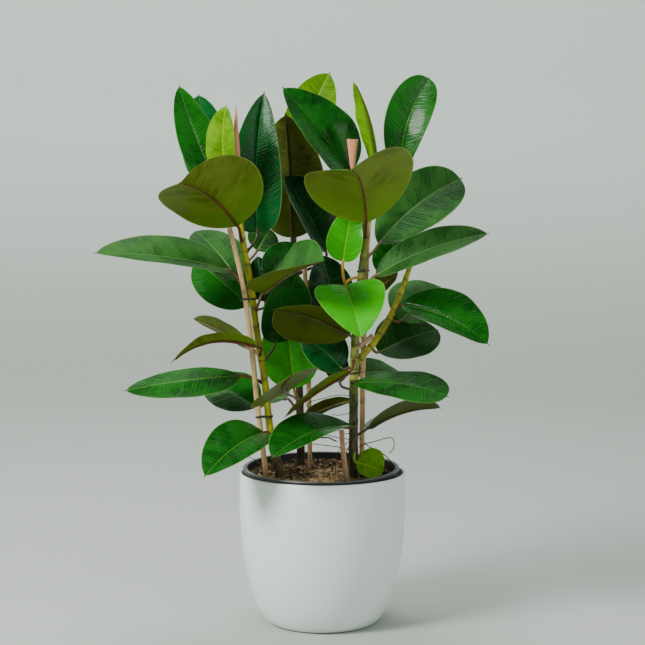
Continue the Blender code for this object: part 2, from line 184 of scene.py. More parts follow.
def lathe(name, profile, surface, steps=144):
    """A solid turned about Z from (radius, height) pairs; both ends of the profile are on the axis."""
    angles = np.linspace(0, 2 * math.pi, steps, endpoint=False)
    points, faces, rings = [], [], []
    for radius, height in profile:
        if radius == 0:
            rings.append([len(points)] * steps)
            points.append((0, 0, height))
        else:
            rings.append(list(range(len(points), len(points) + steps)))
            points += [(*around(radius, a), height) for a in angles]
    for low, high in zip(rings, rings[1:]):
        for i in range(steps):
            j = (i + 1) % steps
            corners = [low[i], high[i], high[j], low[j]]
            faces.append(list(dict.fromkeys(corners)))
    made = mesh_object(name, points, faces, surface)
    made.data.set_sharp_from_angle(angle=math.radians(50))
    return made


def bowl_radius(height):
    """Outer radius of the planter at a height."""
    share = max(1 - height / PLANTER_BOWL, 0)
    return PLANTER_FOOT + (PLANTER_RADIUS - PLANTER_FOOT) * (1 - share ** 1.9) ** (1 / 1.8)


def rounded(centre_radius, centre_height, radius, start, end, steps=6):
    """Points of an arc in the (radius, height) plane, angles in degrees."""
    angles = np.radians(np.linspace(start, end, steps))
    return [(centre_radius + radius * math.cos(a), centre_height + radius * math.sin(a))
            for a in angles]


# Moulded plastic, for both pots: a faint cloudiness, scuffs and a very fine orange-peel skin.
moulded, given = new_group("moulded_skin", Where="Vector")
put_out(moulded, Cloud=speckle(moulded, given["Where"], 9, 3),
        Scuffs=fit(moulded, speckle(moulded, given["Where"], 60, 6, .72), .62, .74),
        Height=speckle(moulded, given["Where"], 900, 2))

planter_white, tree, shader, where = new_surface("planter_white", .38, Specular_IOR_Level=.4)
skin = place_group(tree, moulded, Where=where)
low_dust = fit(tree, node(tree, "SeparateXYZ", where).outputs["Z"], .012, .0)
colour = tint(tree, skin["Cloud"], WHITE, tuple(.95 * c for c in WHITE))
colour = tint(tree, times(tree, low_dust, .35), colour, (.62, .60, .56))
feed(tree, shader, colour, fit(tree, skin["Scuffs"], 0, 1, .36, .50), skin["Height"], .05)

bowl_heights = [1.2, 2.5, 4.5, 7, 10, 14, 19, 25, 32, 40, 50, 61, 73, 86, 100, 115, 130, 146, 160,
                173, PLANTER_BOWL]
lip_height = PLANTER_HEIGHT - LIP_ROUND
inner_radius = PLANTER_RADIUS - PLANTER_WALL
lathe_profile = (
    [(0, PLANTER_FLOOR), (bowl_radius(10) - PLANTER_WALL - 6, PLANTER_FLOOR)]
    + [(bowl_radius(z) - PLANTER_WALL, z) for z in bowl_heights if z > PLANTER_FLOOR + 3]
    + [(inner_radius, lip_height - 2)]
    + rounded(inner_radius + LIP_ROUND, lip_height, LIP_ROUND, 180, 90)
    + rounded(PLANTER_RADIUS - LIP_ROUND, lip_height, LIP_ROUND, 90, 0)
    + [(bowl_radius(z), z) for z in bowl_heights[::-1]]
    + [(PLANTER_FOOT - .5, .3), (PLANTER_FOOT - 1.5, 0), (PLANTER_FOOT - 6, 0), (PLANTER_FOOT - 8, 1.2),
       (0, 1.2)])
planter = lathe("white_planter", lathe_profile, planter_white)
settle(planter, "white_planter", "planter")

# ---- The nursery pot -------------------------------------------------------------------------
# The thin black pot the plant was sold in, drawn from recycled plastic. It is dropped loose into
# the planter, stands a little out of level, and the top of its rolled rim is painted grey as a highlight.
NURSERY_LEAN = math.radians(2.0)
NURSERY_HEIGHT = 228.0
NURSERY_FOOT = 72.0
NURSERY_TOP = 113.0
NURSERY_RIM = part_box("nursery_pot")[1][0] / MM + 2      # the pot stands 2 mm left of centre
NURSERY_RIM_DEPTH = 7.0
NURSERY_WALL = 1.8
NURSERY_PLACE = (-2, 6, PLANTER_FLOOR + .3 + NURSERY_FOOT * math.sin(NURSERY_LEAN))


def stand_in_planter(piece):
    """Seats a piece on the planter's floor with the nursery pot's lean, low side to the front."""
    piece.rotation_euler.x = NURSERY_LEAN
    piece.location = Vector(NURSERY_PLACE) * MM


def nursery_radius(height):
    return NURSERY_FOOT + (NURSERY_TOP - NURSERY_FOOT) * height / NURSERY_HEIGHT


nursery_black, tree, shader, where = new_surface("nursery_black", .42)
skin = place_group(tree, moulded, Where=where)
rim_share = fit(tree, node(tree, "SeparateXYZ", where).outputs["Z"],
                (NURSERY_HEIGHT - 1.2) * MM, (NURSERY_HEIGHT - .1) * MM)
# The grey along the top of the rolled rim is a painted highlight.
rim_highlight = times(tree, rim_share, fit(tree, skin["Cloud"], .35, .6, .45, 1.0))
scuffs_and_rim_highlight = calc(tree, "MAXIMUM", times(tree, skin["Scuffs"], .5), rim_highlight)
feed(tree, shader, tint(tree, scuffs_and_rim_highlight, (.014, .015, .017), (.20, .21, .21)),
     fit(tree, scuffs_and_rim_highlight, 0, 1, .38, .6), skin["Height"], .08)

lip = NURSERY_HEIGHT - NURSERY_RIM_DEPTH
inside = nursery_radius(NURSERY_HEIGHT) - NURSERY_WALL
nursery_pot = lathe(
    "black_nursery_pot",
    [(0, NURSERY_WALL), (NURSERY_FOOT - NURSERY_WALL, NURSERY_WALL), (inside, NURSERY_HEIGHT - 2.5)]
    + rounded(inside + 1.2, NURSERY_HEIGHT - 1.2, 1.2, 180, 90)
    + rounded(NURSERY_RIM - 1.4, NURSERY_HEIGHT - 1.4, 1.4, 90, 0)
    + [(NURSERY_RIM - .3, lip + .5), (NURSERY_RIM - 1.4, lip), (nursery_radius(lip), lip),
       (NURSERY_FOOT, 1), (NURSERY_FOOT - 1, 0), (0, 0)], nursery_black)
stand_in_planter(nursery_pot)
settle(nursery_pot, "black_nursery_plastic", "nursery_pot")

# ---- The potting soil ------------------------------------------------------------------------
# Dark moist peat and coir, filled to about a finger's width below the rim. Crumbs, bark chips,
# moss and loose coconut fibres lie on top, thickest where the soil was last pressed down.
SOIL_TOP = NURSERY_HEIGHT - 11.0
SOIL_RADIUS = nursery_radius(SOIL_TOP) - NURSERY_WALL - .6


def soil_height(x, y):
    """Height of the crumbly soil above its level at a place on it, in millimetres."""
    coarse = noise.noise(Vector((x * .035, y * .035, 3.1)))
    lumps = noise.noise(Vector((x * .11, y * .11, 7.7)))
    crumbs = noise.noise(Vector((x * .34, y * .34, 1.3)))
    return 1.6 * coarse + 1.5 * lumps + 1.1 * crumbs


peat, tree, shader, where = new_surface("peat_soil", .95, Specular_IOR_Level=.2)
clods = speckle(tree, where, 140, 6, .7)
moss = fit(tree, speckle(tree, where, 28, 3), .56, .68)
colour = tint(tree, fit(tree, clods, .35, .7), (.012, .008, .005), (.070, .042, .022))
colour = tint(tree, times(tree, moss, .45), colour, (.055, .060, .018))
feed(tree, shader, colour, height=clods, depth_mm=1.5)


def disc_faces(rings, turns):
    """Faces of a disc: its middle point comes first, then rings of points from the inside out."""
    faces = [(0, 1 + k, 1 + (k + 1) % turns) for k in range(turns)]
    for i in range(rings - 1):
        a, b = 1 + i * turns, 1 + (i + 1) * turns
        faces += [(a + k, b + k, b + (k + 1) % turns, a + (k + 1) % turns) for k in range(turns)]
    return faces


SOIL_SINK = 1.5               # the soil has shrunk down by this much at the pot's wall
rings, turns = 44, 150
points = [(0, 0, SOIL_TOP + soil_height(0, 0))]
for i in range(1, rings + 1):
    for k in range(turns):
        x, y = around(SOIL_RADIUS * i / rings, 2 * math.pi * k / turns)
        points.append((x, y, SOIL_TOP + soil_height(x, y) - SOIL_SINK * (i / rings) ** 6))
foot_start, foot_radius = len(points), NURSERY_FOOT - NURSERY_WALL - .6
points += [(*around(foot_radius, 2 * math.pi * k / turns), NURSERY_WALL + .3) for k in range(turns)]
faces = disc_faces(rings + 1, turns) + [tuple(range(foot_start + turns - 1, foot_start - 1, -1))]
soil = mesh_object("peat_soil", points, faces, peat)
stand_in_planter(soil)
settle(soil, "peat_soil", "soil")

dice = random.Random(7)


def on_soil(spread=.97):
    """A random place on the soil, in millimetres."""
    x, y = around(SOIL_RADIUS * spread * math.sqrt(dice.random()), dice.uniform(0, 2 * math.pi))
    return x, y, SOIL_TOP + soil_height(x, y)


def lumps(name, count, smallest, largest, flatness, surface):
    """Loose crumbs or chips as one mesh: each a small block with its corners pushed about."""
    points, faces = [], []
    corners = [(-1, -1, -1), (1, -1, -1), (1, 1, -1), (-1, 1, -1),
               (-.8, -.8, 1), (.8, -.8, 1), (.8, .8, 1), (-.8, .8, 1)]
    sides = [(0, 3, 2, 1), (4, 5, 6, 7), (0, 1, 5, 4), (1, 2, 6, 5), (2, 3, 7, 6), (3, 0, 4, 7)]
    for _ in range(count):
        x, y, z = on_soil()
        size = smallest + (largest - smallest) * dice.random() ** 2
        turn = dice.uniform(0, math.pi)
        tilt = dice.uniform(-.5, .5)
        stretch = dice.uniform(.55, 1)
        start = len(points)
        for cx, cy, cz in corners:
            px = size * (cx + dice.uniform(-.3, .3))
            py = size * stretch * (cy + dice.uniform(-.3, .3))
            pz = size * flatness * (cz + dice.uniform(-.3, .3)) + tilt * px * .5
            points.append((x + px * math.cos(turn) - py * math.sin(turn),
                           y + px * math.sin(turn) + py * math.cos(turn), z + size * flatness * .6 + pz))
        faces += [tuple(start + i for i in side) for side in sides]
    made = mesh_object(name, points, faces, surface)
    stand_in_planter(made)
    settle(made, "peat_soil")


bark_chip, tree, shader, where = new_surface("bark_chip", .8)
patches = fit(tree, speckle(tree, where, 120, 2), .4, .62)
feed(tree, shader, tint(tree, patches, (.05, .026, .012), (.30, .17, .08)),
     height=speckle(tree, where, 700, 4), depth_mm=.4)
lumps("soil_crumbs", 900, .8, 2.6, .8, peat)
lumps("bark_chips", 190, 1.2, 4.2, .3, bark_chip)


def frames_along(path):
    """Two cross directions along a path, with no twist from point to point."""
    tangents = np.gradient(path, axis=0)
    tangents /= np.linalg.norm(tangents, axis=1)[:, None]
    across = np.cross(tangents[0], (0.0, 0.0, 1.0))
    if np.linalg.norm(across) < .1:
        across = np.cross(tangents[0], (1.0, 0.0, 0.0))
    firsts = []
    for tangent in tangents:
        across = across - across.dot(tangent) * tangent
        across /= np.linalg.norm(across)
        firsts.append(across)
    return np.array(firsts), np.cross(tangents, firsts)


def tube_faces(rings, sides, start=0):
    """Faces of a closed tube: its walls ring by ring, then its two ends."""
    faces = []
    for i in range(rings - 1):
        a, b = start + i * sides, start + (i + 1) * sides
        faces += [(a + k, a + (k + 1) % sides, b + (k + 1) % sides, b + k) for k in range(sides)]
    last = start + (rings - 1) * sides
    return faces + [tuple(range(start + sides - 1, start - 1, -1)), tuple(range(last, last + sides))]


def rod(path, radii, sides, start=0):
    """Points and faces of a closed rod along a path; radii is one number or one for each point."""
    path = np.asarray(path, float)
    radii = np.broadcast_to(radii, len(path))
    first, second = frames_along(path)
    angles = np.arange(sides) * 2 * math.pi / sides
    points = (path[:, None] + radii[:, None, None]
              * (first[:, None] * np.cos(angles)[None, :, None]
                 + second[:, None] * np.sin(angles)[None, :, None])).reshape(-1, 3)
    return points, tube_faces(len(path), sides, start)


def bundle(strands, sides):
    """Points and faces of several rods as one mesh; strands holds (path, radius) pairs."""
    points, faces = [], []
    for path, radius in strands:
        more, walls = rod(path, radius, sides, len(points))
        points += more.tolist()
        faces += walls
    return points, faces


FIBRE_SPANS = 6


def fibres(name, count, longest, thickness, surface, spread, lift, centre=(0, 0)):
    """Loose curved strands lying on the soil, as one mesh."""
    strands = []
    for _ in range(count):
        x, y, _ = on_soil(spread)
        x, y = x + centre[0], y + centre[1]
        if math.hypot(x, y) > SOIL_RADIUS - 5:
            continue
        heading, bend = dice.uniform(0, 2 * math.pi), dice.uniform(-.35, .35)
        length = longest * dice.uniform(.35, 1)
        rise = dice.uniform(0, lift)
        path = []
        for k in range(FIBRE_SPANS + 1):
            arch = rise * math.sin(math.pi * k / FIBRE_SPANS)
            path.append((x, y, SOIL_TOP + soil_height(x, y) + .4 + arch))
            x += length / FIBRE_SPANS * math.cos(heading)
            y += length / FIBRE_SPANS * math.sin(heading)
            if math.hypot(x, y) > SOIL_RADIUS - 2:
                x, y = x * .95, y * .95
            heading += bend + dice.uniform(-.25, .25)
        strands.append((path, thickness * dice.uniform(.6, 1.2)))
    made = mesh_object(name, *bundle(strands, sides=4), surface)
    stand_in_planter(made)
    settle(made, "peat_soil")


def fibre_surface(name, dark, light):
    made, tree, shader, where = new_surface(name, .75)
    feed(tree, shader, tint(tree, fit(tree, speckle(tree, where, 160, 2), .38, .62), dark, light))
    return made


coir_brown = fibre_surface("coir_brown", (.16, .070, .022), (.50, .25, .09))
coir_gold = fibre_surface("coir_gold", (.38, .24, .09), (.78, .60, .34))
root_dark = fibre_surface("dry_root", (.020, .014, .010), (.075, .050, .032))
moss_green = fibre_surface("moss_green", (.035, .040, .010), (.13, .13, .045))
fibres("coir_fibres_dark", 420, 30, .32, coir_brown, .95, 2.5)
fibres("coir_fibres_pale", 300, 26, .34, coir_gold, .95, 2.5)
fibres("coir_patch_front", 420, 24, .42, coir_gold, .32, 4.5, (6, -70))
fibres("coir_patch_rust", 330, 24, .44, coir_brown, .30, 4.5, (16, -62))
fibres("coir_patch_left", 260, 20, .42, coir_gold, .28, 3.5, (-66, -58))
fibres("coir_patch_back", 170, 22, .36, coir_gold, .34, 3.5, (22, -8))
fibres("moss_tufts", 420, 9, .34, moss_green, .95, 3.0)
fibres("dry_roots_on_soil", 110, 44, .45, root_dark, .95, 5.0)

# ---- The stems -------------------------------------------------------------------------------
# Three rooted cuttings, woody and brown near the soil and green above, ringed by the scars of old
# leaves. The right one was cut back once: it has a pink-tan pruned stub and one living side branch.
STEMS = {
    "A": [(-61, -40, 222, 7.5), (-70, -40, 262, 6.5), (-78, -40, 301, 5.5), (-86, -40, 375, 5.2),
          (-96, -40, 436, 5.2), (-106, -40, 514, 5.0), (-120, -40, 599, 4.6), (-125, -40, 692, 4.2)],
    "B": [(-33, 62, 222, 6.5), (-35, 62, 320, 6.0), (-38, 62, 420, 5.4), (-44, 60, 540, 5.0),
          (-43, 58, 670, 4.2)],
    "C": [(46, -32, 222, 7.5), (46, -32, 295, 6.8), (46.5, -32, 370, 6.6), (50, -32, 455, 6.0),
          (57, -32, 525, 5.4), (63, -32, 600, 5.0), (46, -28, 678, 4.4)],
    "D": [(46, -32, 388, 4.0), (58, -26, 404, 5.4), (75, -16, 422, 5.0), (91, -8, 444, 4.8),
          (108, 0, 476, 4.5), (121, 6, 508, 4.1), (131, 10, 536, 3.6)],
}
STUB = [(48, -33, 414, 3.0), (62, -37, 426, 3.7), (74, -40, 437, 3.5)]
SCARS = {"A": (286, 314, 343, 372, 399, 424, 450, 478, 508, 541, 560, 578, 604, 634, 650, 664),
         "B": (258, 290, 318, 352, 391, 432, 470, 512, 544, 562, 600, 641),
         "C": (262, 288, 306, 331, 348, 368, 386, 404, 422, 448, 476, 502, 520, 534, 549, 582, 610,
               642, 658),
         "D": (400, 417, 436, 457, 472, 494, 516)}
ROOT_DEPTH = 35.0


def smooth_path(rows, per_span=14):
    """A smooth path through rows of x, y, z and, for a stem or cane, its radius there."""
    rows = [np.array(row, float) for row in rows]
    rows = [2 * rows[0] - rows[1]] + rows + [2 * rows[-1] - rows[-2]]
    path = []
    for a, b, c, d in zip(rows, rows[1:], rows[2:], rows[3:]):
        for k in range(per_span):
            t = k / per_span
            path.append(.5 * (2*b + (c - a)*t + (2*a - 5*b + 4*c - d)*t*t
                              + (3*b - a - 3*c + d)*t**3))
    return np.array(path + [rows[-2]])


def evenly(path, step):
    """The same path with points an even step apart, in millimetres."""
    runs = np.concatenate([[0], np.cumsum(np.linalg.norm(np.diff(path[:, :3], axis=0), axis=1))])
    marks = np.linspace(0, runs[-1], int(runs[-1] / step) + 1)
    return np.stack([np.interp(marks, runs, path[:, k]) for k in range(path.shape[1])], axis=1)


def paint(piece, name, values):
    """Stores one number for each point of a piece, which its material reads by name."""
    piece.data.attributes.new(name, "FLOAT", "POINT").data.foreach_set(
        "value", np.asarray(values, np.float32))


def plus(tree, a, b):
    return calc(tree, "ADD", a, b)


def painted(tree, name, kind="Fac"):
    """What a piece's points carry under a name."""
    return node(tree, "Attribute", attribute_name=name).outputs[kind]


# Bark: fine lengthwise streaks and small raised dots, for stems, canes and the stake.
bark, given = new_group("bark_streaks", Where="Vector", Stretch="Float")
parts = node(bark, "SeparateXYZ", given["Where"]).outputs
drawn = node(bark, "CombineXYZ", parts["X"], parts["Y"], times(bark, parts["Z"], given["Stretch"]))
streaks = speckle(bark, drawn.outputs[0], 620, 4, .65)
cells = node(bark, "TexVoronoi", given["Where"])
cells.inputs["Scale"].default_value = 260
dots = fit(bark, cells.outputs["Distance"], .26, .14)
put_out(bark, Streaks=streaks, Blotches=speckle(bark, given["Where"], 46, 3, .6), Dots=dots,
        Height=plus(bark, times(bark, streaks, .6), times(bark, dots, .4)))


def stem_surface(name, young, young_dark, old, old_light):
    """Stem skin: green and smooth where `age` is 0, brown and rough where it is 1."""
    made, tree, shader, where = new_surface(name, .5, Specular_IOR_Level=.4)
    streaked = place_group(tree, bark, Where=where, Stretch=.12)
    age = painted(tree, "age")
    ring = painted(tree, "ring")
    green = tint(tree, fit(tree, streaked["Blotches"], .38, .62), young, young_dark)
    brown = tint(tree, fit(tree, streaked["Streaks"], .40, .62), old, old_light)
    uneven = times(tree, calc(tree, "SUBTRACT", streaked["Blotches"], .5), .9)
    colour = tint(tree, fit(tree, plus(tree, age, uneven), .3, .75), green, brown)
    colour = tint(tree, times(tree, ring, .75), colour, old)
    colour = tint(tree, times(tree, streaked["Dots"], .25), colour, old_light)
    feed(tree, shader, colour, fit(tree, age, 0, 1, .42, .8), streaked["Height"], .35)
    return made


STEM_SIDES = 20


stem_yellow = stem_surface("stem_yellow_green", (.46, .43, .010), (.27, .25, .009),
                           (.045, .030, .014), (.17, .12, .06))
stem_olive = stem_surface("stem_olive", (.27, .29, .040), (.16, .18, .022),
                          (.036, .036, .012), (.14, .12, .05))
stem_brown = stem_surface("stem_brown", (.11, .11, .025), (.055, .06, .015),
                          (.030, .020, .012), (.11, .075, .045))


def stalk(name, stem, surface, green_above, bark_below, rooted=True):
    """A ringed stem along its path: it swells a little at each leaf scar."""
    rows = STEMS[stem]
    path = smooth_path(rows)
    if rooted:
        foot = path[0] - np.array((0, 0, ROOT_DEPTH, 0))
        path = np.concatenate([np.linspace(foot, path[0], 12, endpoint=False), path])
    path = evenly(path, 1.6)
    ring = np.zeros(len(path))
    swell = np.zeros(len(path))
    for scar in SCARS[stem]:
        gap = path[:, 2] - scar
        ring = np.maximum(ring, np.exp(-(gap / 1.1) ** 2))
        swell += .55 * np.exp(-((gap - 2.6) / 2.4) ** 2) - .25 * np.exp(-(gap / .9) ** 2)
    wobble = np.array([noise.noise(Vector((h * .06, 0, rows[0][0]))) for h in path[:, 2]])
    radii = path[:, 3] + swell + .35 * wobble
    piece = mesh_object(name, *rod(path[:, :3], radii, STEM_SIDES), surface)
    age = np.clip((green_above - path[:, 2]) / (green_above - bark_below), 0, 1)
    paint(piece, "age", np.repeat(age, STEM_SIDES))
    paint(piece, "ring", np.repeat(ring, STEM_SIDES))
    return piece


settle(stalk("stem_left", "A", stem_yellow, green_above=330, bark_below=235), "green_stem", "stem_a")
settle(stalk("stem_back", "B", stem_brown, green_above=560, bark_below=250), "green_stem", "stem_b")
settle(stalk("stem_right", "C", stem_olive, green_above=420, bark_below=260), "green_stem", "stem_c")
settle(stalk("side_branch", "D", stem_yellow, green_above=410, bark_below=385, rooted=False), "green_stem")

stub_skin, tree, shader, where = new_surface("pruned_stub", .6)
streaked = place_group(tree, bark, Where=where, Stretch=.3)
colour = tint(tree, fit(tree, streaked["Blotches"], .4, .6), (.34, .17, .10), (.52, .34, .20))
feed(tree, shader, colour, height=streaked["Height"], depth_mm=.4)
stub_path = evenly(smooth_path(STUB), 1.0)
stub_radii = stub_path[:, 3] + .5 * np.sin(np.arange(len(stub_path)) * .8) ** 4
stub_radii[-1] *= .8
settle(mesh_object("pruned_stub", *rod(stub_path[:, :3], stub_radii, sides=16), stub_skin), "green_stem")

# ---- The canes and the front stake -----------------------------------------------------------
# Split canes pushed in beside each stem, and one short flat softwood stake at the front. They are
# dry and straw-coloured, darker where they stand in the wet soil.
CANES = {
    "cane_a": [(-82, -48, 222, 4.0), (-95, -52, 330, 4.0), (-106, -54, 441, 3.9),
               (-118, -54, 522, 3.8), (-137, -49, 600, 3.7)],
    "cane_b": [(-19, 46, 222, 3.6), (-22, 44, 400, 3.6), (-28, 42, 560, 3.5)],
    "cane_c": [(59, -8, 222, 4.0), (60.5, -8, 390, 4.0), (66, -10, 561, 3.9), (70, -12, 618, 3.8)],
}
STAKE = [(36, -73, 222, 3.9), (31, -58, 262, 3.8), (28, -46, 297, 3.7)]


def cane_surface(name, pale, dark, stain):
    made, tree, shader, where = new_surface(name, .62, Specular_IOR_Level=.35)
    streaked = place_group(tree, bark, Where=where, Stretch=.03)
    damp = painted(tree, "damp")
    colour = tint(tree, fit(tree, streaked["Streaks"], .36, .66), pale, dark)
    spots = times(tree, fit(tree, streaked["Blotches"], .54, .70), .55)
    colour = tint(tree, calc(tree, "MAXIMUM", spots, times(tree, damp, .75)), colour, stain)
    feed(tree, shader, colour, height=streaked["Streaks"], depth_mm=.35)
    return made


cane_tan = cane_surface("split_cane_tan", (.72, .46, .22), (.50, .30, .13), (.12, .065, .03))
stake_pink = cane_surface("softwood_stake", (.62, .36, .22), (.46, .24, .13), (.16, .08, .04))


CANE_SIDES = 20
DAMP_LINE, DAMP_FADE = 250, 26      # height where the damp begins to show, and how far down it deepens


def squared(path, radii, power):
    """A rod with a squarish section: power 1 is round, and less is squarer."""
    points, faces = rod(path, 1.0, CANE_SIDES)
    spokes = points.reshape(len(path), CANE_SIDES, 3) - path[:, None]
    angles = np.arange(CANE_SIDES) * 2 * math.pi / CANE_SIDES
    reach = (np.abs(np.cos(angles)) ** (2 / power) + np.abs(np.sin(angles)) ** (2 / power)) ** (-power / 2)
    spokes *= reach[None, :, None] * radii[:, None, None]
    return (path[:, None] + spokes).reshape(-1, 3), faces


def upright(name, rows, surface, power, cad_node):
    """A cane or stake: nearly straight, split, with small nicks, and damp at its foot."""
    path = smooth_path(rows)
    foot = path[0] - np.array((0, 0, ROOT_DEPTH, 0))
    path = evenly(np.concatenate([np.linspace(foot, path[0], 12, endpoint=False), path]), 2.0)
    nicks = np.array([noise.noise(Vector((h * .09, rows[0][0], 4))) for h in path[:, 2]])
    piece = mesh_object(name, *squared(path[:, :3], path[:, 3] * (1 + .05 * nicks), power), surface)
    piece.data.set_sharp_from_angle(angle=math.radians(60))
    paint(piece, "damp", np.repeat(np.clip((DAMP_LINE - path[:, 2]) / DAMP_FADE, 0, 1), CANE_SIDES))
    settle(piece, "split_cane", cad_node)


for cane_name, rows in CANES.items():
    upright("split_" + cane_name, rows, cane_tan, .75, cane_name)
upright("flat_front_stake", STAKE, stake_pink, .45, "front_stake")

# ---- The ties --------------------------------------------------------------------------------
# Short lengths of dark green plastic-coated wire, wound once or twice round a stem and its cane and
# twisted off. They hold the stems upright.
tie_green, tree, shader, where = new_surface("tie_wire", .45)
shade = fit(tree, speckle(tree, where, 400, 2), .4, .6)
feed(tree, shader, tint(tree, shade, (.006, .020, .008), (.018, .045, .016)))
TIES = {"tie_a_upper": ("A", "cane_a", 490), "tie_a_lower": ("A", "cane_a", 316),
        "tie_c_upper": ("C", "cane_c", 530), "tie_c_lower": ("C", "cane_c", 379)}
WIRE = .7


def axis_at(rows, height):
    """Centre and radius of a stem or cane at a height."""
    path = smooth_path(rows)
    return np.array([np.interp(height, path[:, 2], path[:, k]) for k in range(4)])


for tie_name, (stem, cane_name, height) in TIES.items():
    a, b = axis_at(STEMS[stem], height), axis_at(CANES[cane_name], height)
    heading = math.atan2(b[1] - a[1], b[0] - a[0])
    loop = []
    for turn in range(2):
        for centre, start in ((b, heading - math.pi / 2), (a, heading + math.pi / 2)):
            for k in range(10):
                angle = start + k / 9 * math.pi
                reach = centre[3] + WIRE + .2
                loop.append((centre[0] + reach * math.cos(angle), centre[1] + reach * math.sin(angle),
                             height + 1.5 * turn + .15 * k))
    front = np.array((.5 * (a[0] + b[0]), min(a[1], b[1]) - max(a[3], b[3]) - 1.2, height + 1))
    tails = [[front + np.array((side * .8 * math.sin(k * 1.5) + side * .06 * k * k, -.5 * k,
                                .8 * math.cos(k * 1.5) + .35 * k)) for k in range(8)]
             for side in (-1, 1)]
    wires = [(evenly(smooth_path(rows, 4), 1.2), WIRE) for rows in [loop] + tails]
    settle(mesh_object("wire_" + tie_name, *bundle(wires, sides=8), tie_green), "dark_wire", tie_name)

# ---- The bud sheaths -------------------------------------------------------------------------
# Papery salmon-pink sheaths that wrap the next leaf at a stem's tip. The left one is a closed
# spike; the right one has split and dried into a squared-off funnel.
sheath_pink, tree, shader, where = new_surface("sheath_pink", .48)
streaked = place_group(tree, bark, Where=where, Stretch=.04)
colour = tint(tree, fit(tree, streaked["Streaks"], .38, .64), (.82, .26, .13), (.88, .40, .23))
feed(tree, shader, tint(tree, painted(tree, "tip"), colour, (.30, .09, .05)),
     height=streaked["Streaks"], depth_mm=.3)

SPIKE = [(-125, -40, 690, 3.8), (-125.5, -40, 702, 5.4), (-126, -40, 718, 5.0), (-126, -40, 740, 3.3),
         (-126, -40, 760, 1.7), (-126, -40, 774, .5)]
SPIKE_SIDES = 24
DRY_FROM, DRY_FADE = 764, 10
path = evenly(smooth_path(SPIKE), 1.0)
spike = mesh_object("bud_sheath_spike", *rod(path[:, :3], path[:, 3], SPIKE_SIDES), sheath_pink)
paint(spike, "tip", np.repeat(np.clip((path[:, 2] - DRY_FROM) / DRY_FADE, 0, 1), SPIKE_SIDES))
settle(spike, "pink_sheath", "bud_sheath_a")

FUNNEL_FOOT, FUNNEL_TOP, FUNNEL_WALL = 680, 724, .6
points, tip = [], []
turns, levels = 40, 24
for skin_side in (0, 1):
    for i in range(levels + 1):
        share = (i / levels) if skin_side == 0 else (1 - i / levels)
        height = FUNNEL_FOOT + (FUNNEL_TOP - FUNNEL_FOOT) * share
        half_width = 2.6 + 6.0 * share ** .9 - skin_side * FUNNEL_WALL
        half_depth = 2.3 + 1.0 * math.sin(math.pi * share) - skin_side * FUNNEL_WALL
        for k in range(turns):
            a = 2 * math.pi * k / turns
            ragged = 1.6 * noise.noise(Vector((math.cos(a) * 2, math.sin(a) * 2, 5))) * share ** 6
            points.append((44 + half_width * math.cos(a), -30 - .18 * (height - FUNNEL_FOOT)
                           + half_depth * math.sin(a), height + ragged))
            tip.append(max(share - .93, 0) * 8)
funnel = mesh_object("bud_sheath_funnel", points, tube_faces(2 * levels + 2, turns), sheath_pink)
paint(funnel, "tip", np.clip(tip, 0, 1))
settle(funnel, "pink_sheath", "bud_sheath_c")
